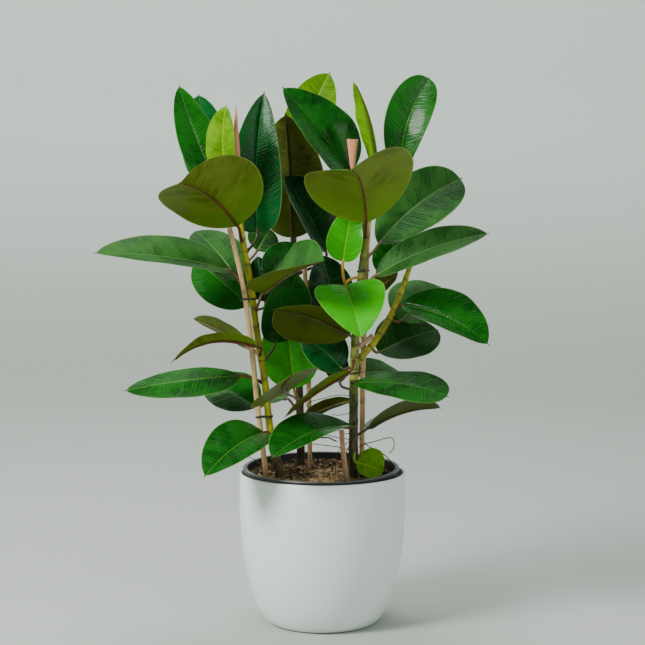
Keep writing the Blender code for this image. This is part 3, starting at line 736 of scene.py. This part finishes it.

# ---- The leaves ------------------------------------------------------------------------------
# Thick leathery oval leaves on stout stalks. The upper side is polished green with a pale midrib
# and fine close side veins; the underside is dull olive with a raised red-brown midrib.
# foot and tip are the ends of the midrib, and face is where the upper side looks. The tone makes the leaf
# lighter or darker than its look, partly for its own colour and partly as painted light and shade for how
# brightly it is lit; bow and sweep bend the midrib up and to the left, fold raises the two halves, and wide
# and blunt shape the outline.
Leaf = namedtuple("Leaf", "name stem node foot tip face width look tone bow sweep fold twist wide blunt",
                  defaults=("dark", 0, .06, 0, 10, 0, .5, .68))
LEAVES = [
    Leaf("leaf_a01", "A", 632, (-148, -22, 640), (-213, 5, 806), (3, -8, 0), 62, "dark", .25, .05, .04, 12,
         wide=.46),
    Leaf("leaf_a02", "A", 620, (-174, 14, 653), (-188, 68, 796), (2, -9, 2), 71, "blue", .3, .05),
    Leaf("leaf_a03", "A", 662, (-139, -46, 668), (-139, -56, 773), (-4, -8, 1), 52, "lime", 0, .05, .04, 15),
    Leaf("leaf_a05", "A", 558, (-97, -1, 588), (-86, 9, 797), (0, -8, 0), 86, "blue", .35, .04, .03, 25,
         wide=.36),
    Leaf("leaf_a06", "A", 575, (-123, -62, 598), (-197, -190, 660), (-2, 6, 7), 150, "olive", -.1, .075, .04,
         19, wide=.39, blunt=.42),
    Leaf("leaf_a07", "A", 506, (-139, -50, 534), (-325, -120, 561), (0, -4.5, 8.2), 92, "soft", 0, .055, .02,
         17, wide=.45),
    Leaf("leaf_a08", "A", 500, (-125, -20, 517), (-195, 70, 588), (1, -6, 6), 76, "soft", -.3, .06, 0, 12),
    Leaf("leaf_a09", "A", 480, (-110, -20, 480), (-195, 60, 543), (-2, -8, 4), 78, "dark", .3, .06, 0, 12),
    Leaf("leaf_a10", "A", 474, (-87, -58, 500), (4, -196, 554), (-4.4, -.4, 8.4), 108, "soft", .1, .04, 0,
         33, twist=16, wide=.52),
    Leaf("leaf_a11", "A", 512, (-82, -8, 522), (-36, 6, 570), (1, -8, 4), 54, "dark", 0, .06, 0, 12),
    Leaf("leaf_a12", "A", 542, (-98, 14, 560), (-80, 46, 592), (1, -9, 3), 50, "soft", 0, .04, 0, 6),
    Leaf("leaf_a14", "A", 397, (-70, -10, 424), (-38, -20, 530), (6, -9, 1), 88, "dark", .1, .05, .05, 18),
    Leaf("leaf_a46", "A", 408, (-95, -74, 424), (-217, -120, 403), (-1, 4, 9), 50, "olive", -.2, .16, 0, 12),
    Leaf("leaf_a47", "A", 402, (-104, -22, 415), (-197, 30, 456), (-1, 6, 7), 54, "soft", 0, .04, 0, 8),
    Leaf("leaf_a44", "A", 366, (-122, -46, 378), (-287, -95, 361), (0, -5, 8), 70, "olive", -.2, .03, 0, -10),
    Leaf("leaf_a45", "A", 332, (-98, -26, 329), (-178, 45, 360), (0, -7, 6), 76, "dark", 0, .05),
    Leaf("leaf_a35", "A", 290, (-86, -62, 296), (-168, -150, 245), (-1, -5.4, 6.7), 88, "olive", -.5, .10, 0,
         17, wide=.44),
    Leaf("leaf_b20", "B", 662, (-42, 82, 690), (12, 82, 830), (-1, -9, 0), 72, "lime", -.5, .02, .04,
         wide=.6),
    Leaf("leaf_b50", "B", 560, (-46, 46, 578), (-56, 34, 766), (1, 8, 2), 108, "dark", -.25, .03, wide=.46),
    Leaf("leaf_b51", "B", 520, (5, 30, 558), (-58, 20, 672), (8, -7, 2), 104, "blue", -.6, .04, 0, 28),
    Leaf("leaf_b39", "B", 330, (-44, 42, 349), (-56, 28, 480), (0, -9, 1), 92, "fresh", 0, .05, 0, 20),
    Leaf("leaf_b37", "B", 322, (-55, -50, 353), (-42, -165, 393), (-4, 1, 7), 112, "olive", -.2, .02, -.06,
         -4, wide=.56),
    Leaf("leaf_b49", "B", 312, (-56, 68, 330), (-95, 110, 320), (0, -5, 8), 56, "soft", 0, .06, 0, 8),
    Leaf("leaf_c19", "C", 655, (41, 4, 676), (-60, -5, 802), (6.8, -8.4, 5.6), 112, "dark", 0, .05, .03, 20,
         wide=.43),
    Leaf("leaf_c21", "C", 662, (77, -30, 687), (44, -48, 810), (-9, -3, 0), 46, "lime", -.35, -.06, 0, 30),
    Leaf("leaf_c23", "C", 640, (114, -20, 669), (159, -5, 817), (-1, -8, 1), 71, "dark", .2, .06, .08, 22,
         wide=.58, blunt=.45),
    Leaf("leaf_c18", "C", 580, (63, -58, 602), (37, -215, 678), (-1.9, 4, 8.5), 168, "olive", .1, .10, .05,
         20, wide=.43, blunt=.5),
    Leaf("leaf_c24", "C", 545, (84, -2, 570), (213, 60, 668), (2, -7, 6), 94, "soft", -.1, .05, .05,
         wide=.54, blunt=.45),
    Leaf("leaf_c26", "C", 490, (92, 2, 522), (112, 36, 582), (-1, -8, 4), 52, "dark", .2, .05, 0, 12),
    Leaf("leaf_c25", "C", 505, (78, -45, 526), (242, -75, 588), (0, -6, 7), 66, "soft", -.2, .07, 0, 16,
         wide=.52),
    Leaf("leaf_c16", "C", 520, (33, -66, 512), (54, -178, 445), (0, -6, 6), 104, "fresh", .1, .06, 0, 15,
         wide=.38),
    Leaf("leaf_c17", "C", 486, (30, -46, 546), (44, -42, 626), (-3, -8, 0), 58, "fresh", -.7, .03, 0, 15,
         wide=.42),
    Leaf("leaf_c15", "C", 420, (40, -50, 438), (-71, -95, 479), (-1, 5, 6), 94, "dark", .25, .08, 0, -22,
         blunt=.42),
    Leaf("leaf_c28", "D", 468, (119, -4, 479), (244, -55, 424), (0, -6, 7), 88, "dark", .25, .08, .03, 27,
         wide=.54),
    Leaf("leaf_c29", "D", 455, (118, 18, 454), (182, 75, 502), (-1, -6, 6), 98, "soft", .4),
    Leaf("leaf_c30", "D", 415, (84, 0, 408), (178, 60, 436), (0, -6, 6), 92, "soft", -.6),
    Leaf("leaf_c31", "C", 366, (44, -54, 368), (180, -130, 357), (0, -4, 8), 80, "dark", 0, .07, 0, 0,
         wide=.6, blunt=.42),
    Leaf("leaf_c32", "C", 394, (48, 4, 374), (125, 80, 364), (0, -6, 7), 56, "soft", -.2),
    Leaf("leaf_c33", "C", 285, (68, -20, 296), (181, 25, 320), (0, 3, 8), 84, "blue", 0, .08, 0, 18,
         wide=.42),
    Leaf("leaf_c36", "C", 302, (46, -56, 304), (-73, -170, 274), (-1, -2.8, 8), 94, "olive", -.55, .10, 0,
         17, wide=.56),
    Leaf("leaf_c38", "C", 398, (40, -58, 386), (-56, -84, 320), (-5, 2, 6), 54, "olive", -.2, .03),
    Leaf("leaf_c40", "C", 388, (29, -36, 387), (-30, -22, 436), (1, -6, 6), 76, "blue", 0, .06, 0, 12),
    Leaf("leaf_c43", "C", 345, (44, -12, 338), (-32, 30, 300), (0, 5, 8), 36),
    Leaf("leaf_c34", "C", 262, (50, -49, 249), (90, -52, 237), (-1, -6, 6), 58, "lime", -.5, .04, 0, 25,
         blunt=.5),
    # the last five show only in gaps between the others; the low tones of four of them are painted shade
    Leaf("back_leaf_low", "C", 448, (20, 8, 464), (-2, 12, 554), (2, -8, 1), 68, "blue", -.6, .06, 0, 8),
    Leaf("back_leaf_stem", "C", 352, (26, 4, 362), (10, 44, 416), (1, -8, 2), 40, "blue", -.4),
    Leaf("back_leaf_left", "A", 470, (-86, 8, 484), (-98, 16, 552), (-1, -8, 1), 42, "blue", -.3, .06, 0, 8),
    Leaf("back_leaf_middle", "B", 425, (-24, 56, 440), (-18, 58, 516), (2, -8, 1), 52, "blue", -.5, .06, 0,
         8),
    Leaf("back_leaf_right", "C", 476, (74, -28, 494), (112, -26, 530), (2, 6, 8), 36, "dark", .2, .06, 0, 14),
]
LEAF_THICKNESS = .6

# Side veins: close parallel lines that leave the midrib and bend forward to the edge. They are
# drawn in the blade's own measures, carried by its points: shares of its size, and millimetres.
VEIN_GAP = 5.4
veins, given = new_group("leaf_veins", Share="Vector", Blade="Vector")
share = node(veins, "SeparateXYZ", given["Share"]).outputs
blade = node(veins, "SeparateXYZ", given["Blade"]).outputs
side_share = calc(veins, "ABSOLUTE", share["X"])
side = calc(veins, "ABSOLUTE", blade["X"])
drift = times(veins, speckle(veins, given["Blade"], .05, 2), 7.0)
forward = plus(veins, times(veins, side, .42), times(veins, calc(veins, "POWER", side_share, 4.0), 5.0))
line = plus(veins, calc(veins, "SUBTRACT", blade["Y"], forward), drift)
phase = calc(veins, "FRACT", calc(veins, "DIVIDE", line, VEIN_GAP))
saw = times(veins, calc(veins, "ABSOLUTE", calc(veins, "SUBTRACT", phase, .5)), 2.0)
fine = calc(veins, "SINE", times(veins, line, 4.1))
ripple_place = node(veins, "CombineXYZ", times(veins, line, .26), times(veins, blade["X"], .015), 0.0)
ripple = speckle(veins, ripple_place.outputs[0], 1.0, 3, .6)
rib_half = calc(veins, "SUBTRACT", 1.5, times(veins, share["Y"], 1.1))
midrib = fit(veins, calc(veins, "DIVIDE", side, rib_half), 1.35, .65)
inner = fit(veins, side_share, 1.0, .8)
swell = times(veins, calc(veins, "SUBTRACT", 1.0, calc(veins, "POWER", saw, 2.0)), inner)
swell = times(veins, swell, fit(veins, ripple, .3, .6, .15, 1.0))
height = plus(veins, times(veins, ripple, .7), times(veins, swell, .5))
height = plus(veins, height, times(veins, times(veins, fine, inner), .04))
put_out(veins, Midrib=midrib, Veins=times(veins, fit(veins, saw, .78, 1.0), inner),
        Edge=fit(veins, side_share, .955, .99), Tip=fit(veins, share["Y"], .972, .99), Ripple=ripple,
        Height=plus(veins, height, times(veins, midrib, .3)))


DRY_TIP = (.045, .030, .010)


def blade_surface(name, deep, light, rib, edge, gloss, coat, ripple_depth, vein_share,
                  shine=.11, glow=None):
    """One side of a leaf. gloss is its roughness, ripple_depth is in millimetres, and glow is the
    colour of light coming through near the stalk."""
    made, tree, shader, where = new_surface(name, gloss, Coat_Weight=coat, Coat_Roughness=.12,
                                            Specular_IOR_Level=shine)
    share = painted(tree, "share", "Vector")
    drawn = place_group(tree, veins, Share=share, Blade=painted(tree, "blade", "Vector"))
    cloud = speckle(tree, where, 24, 3)
    patch = plus(tree, times(tree, cloud, .7), times(tree, speckle(tree, where, 130, 3, .6), .3))
    # The tone moves the leaf between its deep and light colours: partly its own colour, partly painted light
    # and shade.
    colour = tint(tree, plus(tree, fit(tree, patch, .36, .62), painted(tree, "tone")), deep, light)
    if glow:
        along = node(tree, "SeparateXYZ", share).outputs["Y"]
        colour = tint(tree, fit(tree, along, .5, .0, 0.0, .75), colour, glow)
    # Pale streaks along the ripples of the side veins are painted highlights, stronger on sides that have a
    # glow.
    streaks = fit(tree, drawn["Ripple"], .42, .66, 0.0, .85 if glow else .5)
    for mask, over in ((times(tree, drawn["Veins"], vein_share), rib), (streaks, light),
                       (times(tree, drawn["Edge"], .7), edge), (times(tree, drawn["Midrib"], .8), rib),
                       (drawn["Tip"], DRY_TIP)):
        colour = tint(tree, mask, colour, over)
    feed(tree, shader, colour, fit(tree, cloud, .35, .65, gloss - .04, gloss + .08), drawn["Height"],
         ripple_depth)
    return made


def stalk_surface(name, colour, shade_colour):
    made, tree, shader, where = new_surface(name, .42)
    streaked = place_group(tree, bark, Where=where, Stretch=.3)
    feed(tree, shader, tint(tree, fit(tree, streaked["Blotches"], .4, .62), colour, shade_colour),
         height=streaked["Streaks"], depth_mm=.15)
    return made


# Each look: upper side, underside, and leaf stalk with the raised midrib under the blade.
LOOKS = {}
for look, upper, under, petiole in (
        ("dark",
         ("leaf_dark", (.001, .024, .001), (.006, .105, .003), (.03, .17, .012), (.10, .26, .04), .19, .10,
          .7, .10),
         ("leaf_dark_under", (.027, .038, .003), (.072, .090, .007), (.09, .07, .012), (.20, .24, .06), .50,
          0.0, .3, .25, .11, (.07, .12, .003)),
         ("leaf_stalk_olive", (.085, .085, .012), (.075, .030, .010))),
        ("blue",
         ("leaf_blue_green", (.001, .015, .002), (.002, .080, .011), (.03, .15, .03), (.18, .36, .13), .22,
          .08, .6, .14),
         ("leaf_blue_green_under", (.035, .055, .008), (.065, .095, .012), (.09, .08, .02), (.17, .22, .06),
          .52, 0.0, .3, .25),
         ("leaf_stalk_brown", (.060, .040, .012), (.030, .016, .007))),
        ("soft",
         ("leaf_soft_green", (.006, .052, .006), (.030, .130, .018), (.11, .24, .05), (.18, .32, .09), .38,
          0.0, .7, .20),
         ("leaf_soft_green_under", (.055, .092, .007), (.11, .15, .014), (.13, .09, .02), (.18, .23, .06),
          .55, 0.0, .3, .25, .11, (.10, .20, .004)),
         ("leaf_stalk_tan", (.18, .10, .035), (.095, .045, .018))),
        ("fresh",
         ("leaf_fresh", (.020, .28, .002), (.036, .42, .003), (.20, .50, .02), (.26, .56, .06), .26, .06,
          .6, .16),
         ("leaf_fresh_under", (.10, .20, .003), (.17, .30, .006), (.28, .32, .03), (.32, .44, .06), .50,
          0.0, .3, .25),
         ("leaf_stalk_amber", (.50, .26, .016), (.32, .20, .015))),
        ("lime",
         ("leaf_lime", (.055, .17, .0005), (.165, .36, .001), (.30, .46, .015), (.18, .38, .01), .42, 0.0,
          .35, .18, .08),
         ("leaf_lime_under", (.12, .24, .001), (.19, .34, .002), (.30, .38, .02), (.22, .36, .01), .48, 0.0,
          .3, .20, .08),
         ("leaf_stalk_lime", (.24, .32, .018), (.17, .22, .012))),
        ("olive",
         ("leaf_mid_green", (.003, .054, .003), (.011, .140, .008), (.08, .26, .02), (.22, .38, .09), .26,
          .05, .65, .16),
         ("leaf_olive_under", (.078, .108, .004), (.16, .215, .020), (.11, .060, .009), (.28, .31, .06),
          .44, 0.0, .45, .38, .2, (.15, .32, .002)),
         ("leaf_stalk_red_brown", (.15, .035, .009), (.090, .024, .008))),
):
    LOOKS[look] = blade_surface(*upper), blade_surface(*under), stalk_surface(*petiole)


def half_width(t, wide, blunt):
    """Half width at share t of the length, as a share of the greatest: an oval with a drip tip."""
    warped = np.clip(t / .975, 0, 1) ** (math.log(.5) / math.log(wide))
    oval = (2 * warped) ** .55 * (2 * (1 - warped)) ** blunt
    drip = np.clip(.008 + .95 * (1 - t), 0, .12) * (t > .8)
    return np.maximum((oval ** 4 + drip ** 4) ** .25, .008)


def unit(vector):
    return vector / np.linalg.norm(vector)


class Blade:
    """The midrib curve of one leaf and the frame that its two halves are built on."""

    def __init__(self, row):
        self.row = row
        self.foot = np.array(row.foot, float)
        chord = np.array(row.tip, float) - self.foot
        self.length = np.linalg.norm(chord)
        self.along = chord / self.length
        face = np.array(row.face, float)
        self.up = unit(face - face.dot(self.along) * self.along)
        self.left = np.cross(self.up, self.along)

    def rib(self, t):
        arch = 4 * t * (1 - t) * self.length
        return (self.foot + self.along * self.length * t
                + self.up * self.row.bow * arch + self.left * self.row.sweep * arch)

    def frame(self, t):
        """Tangent, across (to the leaf's left) and upper-side normal at share t."""
        tangent = unit(self.rib(t + .01) - self.rib(t - .01))
        across = np.cross(self.up, tangent)
        normal = np.cross(tangent, unit(across))
        turn = math.radians(self.row.twist) * t
        across = unit(np.cross(normal, tangent)) * math.cos(turn) + normal * math.sin(turn)
        return tangent, across, np.cross(tangent, across)


# Where the blade's points lie: shares of its length, and of its half width from edge to midrib.
LENGTH_SHARES = np.concatenate([[0, .004, .010, .020, .034], np.linspace(.05, .92, 58),
                                np.linspace(.932, 1, 16)])
SIDE_SHARES = np.array([0, .013, .03, .055, .09, .14, .20, .27, .35, .43, .51, .59, .67, .75, .82,
                        .88, .93, .965, .988])
ACROSS = np.concatenate([SIDE_SHARES, [1.0], SIDE_SHARES[::-1], -SIDE_SHARES[1:], [-1.0],
                         -SIDE_SHARES[:0:-1]])
UPPER = np.concatenate([np.ones(len(SIDE_SHARES)), [0], -np.ones(2 * len(SIDE_SHARES) - 1), [0],
                        np.ones(len(SIDE_SHARES) - 1)])


def grow_leaf(row):
    blade = Blade(row)
    whims = random.Random(row.name)
    wave_phase = [whims.uniform(0, 2 * math.pi) for _ in range(4)]
    wave_size = whims.uniform(.5, 1.3)
    half = half_width(LENGTH_SHARES, row.wide, row.blunt) * row.width / 2
    fold = math.radians(row.fold)
    points, shares, places, ring_count = [], [], [], len(ACROSS)
    for t, reach in zip(LENGTH_SHARES, half):
        _, across, normal = blade.frame(t)
        x = np.abs(ACROSS)
        raise_fold = x * math.sin(fold) * (1.25 - .35 * x)
        gutter = -.9 * np.exp(-(x * reach / 2.2) ** 2) * (1 - t)
        wave = wave_size * x ** 2.5 * (
            np.where(ACROSS > 0, math.sin(9.5 * t + wave_phase[0]), math.sin(8.1 * t + wave_phase[1]))
            + .5 * np.where(ACROSS > 0, math.sin(23 * t + wave_phase[2]), math.sin(20 * t + wave_phase[3])))
        wave *= math.sin(math.pi * min(t, 1)) ** .5
        shell = LEAF_THICKNESS / 2 * UPPER * np.sqrt(np.clip(1 - x ** 8, 0, 1))
        lift = reach * raise_fold + wave + gutter + shell
        points.append(blade.rib(t) + np.outer(reach * ACROSS * math.cos(fold), across)
                      + np.outer(lift, normal))
        shares += [(a, t, 0) for a in ACROSS]
        places += [(a * reach, t * blade.length, 0) for a in ACROSS]
    points = np.concatenate(points).tolist()
    faces = tube_faces(len(LENGTH_SHARES), ring_count)
    ring_slots = [0 if UPPER[k] + UPPER[(k + 1) % ring_count] > 0 else 1 for k in range(ring_count)]
    slots = ring_slots * (len(LENGTH_SHARES) - 1) + [0, 0]

    # the stalk leaves the stem, bends into the blade's foot and runs on under it as the midrib
    stem = axis_at(STEMS[row.stem], row.node)
    away = blade.foot - stem[:3]
    away[2] = 0
    away = unit(away)
    start = stem[:3] + away * stem[3] * .5
    out = unit(away + np.array((0, 0, .6)))
    tangent = blade.frame(0)[0]
    reach = np.linalg.norm(blade.foot - start)
    path, radii = [], []
    for t in np.linspace(0, 1, 22):
        h = (2*t**3 - 3*t**2 + 1, t**3 - 2*t**2 + t, 3*t**2 - 2*t**3, t**3 - t**2)
        path.append(h[0] * start + h[1] * out * reach + h[2] * blade.foot + h[3] * tangent * reach)
        radii.append(2.1 + 1.1 * math.exp(-((t - .08) / .10) ** 2))
    for t in np.linspace(.012, .93, 40):
        radius = 1.9 * (1 - t) ** .8 + .35
        normal = blade.frame(t)[2]
        sunk = min(t / .05, 1)
        path.append(blade.rib(t) - normal * (sunk * (radius * .8 + .35 + .9 * (1 - t))))
        radii.append(radius)
    more, walls = rod(path, radii, sides=12, start=len(points))
    points += more.tolist()
    faces += walls
    slots += [2] * len(walls)
    shares += [(0, 0, 0)] * len(more)
    places += [(0, 0, 0)] * len(more)

    piece = mesh_object(row.name + "_blade", points, faces, *LOOKS[row.look], slots=slots)
    for label, values in (("share", shares), ("blade", places)):
        piece.data.attributes.new(label, "FLOAT_VECTOR", "POINT").data.foreach_set(
            "vector", np.asarray(values, np.float32).ravel())
    # Each leaf's tone is partly its own colour and partly painted light and shade for how brightly it is lit.
    paint(piece, "tone", [row.tone] * len(points))
    cad_nodes = [row.name] if row.name.startswith("leaf_") else []
    settle(piece, "leaf_green", *cad_nodes)


for row in LEAVES:
    grow_leaf(row)

# ---- Loose wires and dry roots ---------------------------------------------------------------
# Ends of old tie wire and dry aerial roots that stick out round the feet of the stems.
LOOSE_ENDS = [
    (.55, [(43, -27, 345), (30, -14, 345), (17, -5, 343), (5, -5, 340), (-14, -5, 335), (-24, -5, 330),
           (-20, -5, 326), (-6, -5, 321)]),
    (.55, [(13, -10, 316), (24, -10, 314), (38, -13, 317), (45, -28, 318)]),
    (.6, [(4, -20, 286), (18, -20, 283), (36, -22, 280), (43, -30, 278)]),
    (.65, [(-17, -15, 272), (1, -15, 270), (16, -15, 268), (38, -18, 264), (44, -28, 263)]),
    (1.1, [(-35, 59, 257), (-34, 44, 260), (-29, 33, 266), (-16, 30, 271), (-4, 30, 274), (9, 30, 274),
           (22, 30, 268)]),
    (.55, [(28, -46, 291), (40, -48, 292), (50, -44, 291), (50, -36, 290)]),
    (.7, [(48, -29, 266), (54, -21, 268), (60, -20, 271), (69, -20, 274), (81, -20, 277),
          (94, -20, 281), (104, -20, 281), (107, -20, 273), (105, -20, 263), (99, -20, 259)]),
    (.8, [(48, -28, 283), (52, -16, 281), (59, -10, 277), (67, -10, 269), (80, -10, 261),
          (93, -10, 254), (108, -10, 238)]),
    (.6, [(42, -31, 279), (32, -30, 272), (26, -30, 267), (21, -30, 256), (19, -30, 226)]),
    (.7, [(-20, 45, 248), (-19, 36, 240), (-17, 30, 231), (-6, 30, 227), (5, 30, 224)]),
    (.7, [(43, -35, 279), (37, -40, 268), (36, -40, 254), (38, -42, 226)]),
    (.5, [(50, -34, 272), (48, -41, 262), (44, -42, 254), (43, -42, 226)]),
    (.5, [(-112, -40, 257), (-107, -40, 255), (-97, -41, 250), (-89, -45, 244), (-86, -48, 241)]),
]
strands = []
for radius, rows in LOOSE_ENDS:
    path = evenly(smooth_path(rows, 8), 1.5)
    wobble = np.array([[noise.noise(Vector((k * .21, axis * 9, rows[0][0]))) for axis in range(3)]
                       for k in range(len(path))])
    strands.append((path + .8 * wobble, radius))
settle(mesh_object("loose_wires_and_roots", *bundle(strands, sides=7), root_dark), "dark_wire")

# ---- The studio ------------------------------------------------------------------------------
# A pale seamless bowl of floor and wall all round, a big soft light high at the left, a weaker one
# at the right, and one overhead.
BACKDROP = [(2800, 0), (3300, 60), (3700, 260), (3950, 600), (4050, 1100), (4100, 3400)]
FLOOR_DROP = .2               # the floor lies this far below the planter's foot
studio, tree, shader, where = new_surface("studio_backdrop", .9, Specular_IOR_Level=.1)
height = node(tree, "SeparateXYZ", where).outputs["Z"]
feed(tree, shader, tint(tree, fit(tree, height, .0, .9), (.47, .50, .46), (.68, .755, .70)))
turns = 96
points = [(0, 0, -FLOOR_DROP)] + [(*around(r, 2 * math.pi * k / turns), z - FLOOR_DROP)
                                  for r, z in BACKDROP for k in range(turns)]
backdrop = mesh_object("studio_backdrop", points, disc_faces(len(BACKDROP), turns), studio)


def soft_light(name, place, aim, size, power, colour=(1, 1, 1)):
    data = bpy.data.lights.new(name, "AREA")
    data.shape, data.size, data.energy, data.color = "DISK", size, power, colour
    lamp = bpy.data.objects.new(name, data)
    lamp.location = place
    lamp.rotation_euler = (Vector(aim) - Vector(place)).to_track_quat("-Z", "Y").to_euler()
    bpy.context.scene.collection.objects.link(lamp)


soft_light("key_left", (-1.9, -1.5, 2.1), (0, 0, .5), 1.0, 122, (.97, 1, .97))
soft_light("fill_right", (2.2, -1.6, 1.4), (0, 0, .4), 1.2, 15)
soft_light("overhead", (0, .3, 3.2), (0, 0, .3), 1.6, 45)
soft_light("wall_wash", (-.5, 1.5, 3.1), (-.5, 4.1, 1.0), 1.4, 45)
world = bpy.data.worlds.new("studio_air")
world.use_nodes = True
world.node_tree.nodes["Background"].inputs[0].default_value = (.93, .97, 1, 1)
world.node_tree.nodes["Background"].inputs[1].default_value = .35
bpy.context.scene.world = world

# ---- The camera ------------------------------------------------------------------------------
camera_data = bpy.data.cameras.new("camera")
camera_data.sensor_width = 36
camera_data.lens = 92.1
camera_data.clip_end = 50
camera = bpy.data.objects.new("camera", camera_data)
camera.location = (0, -2.46, .654)
camera.rotation_euler = (math.radians(90 - 4.68), 0, 0)
bpy.context.scene.collection.objects.link(camera)
bpy.context.scene.camera = camera
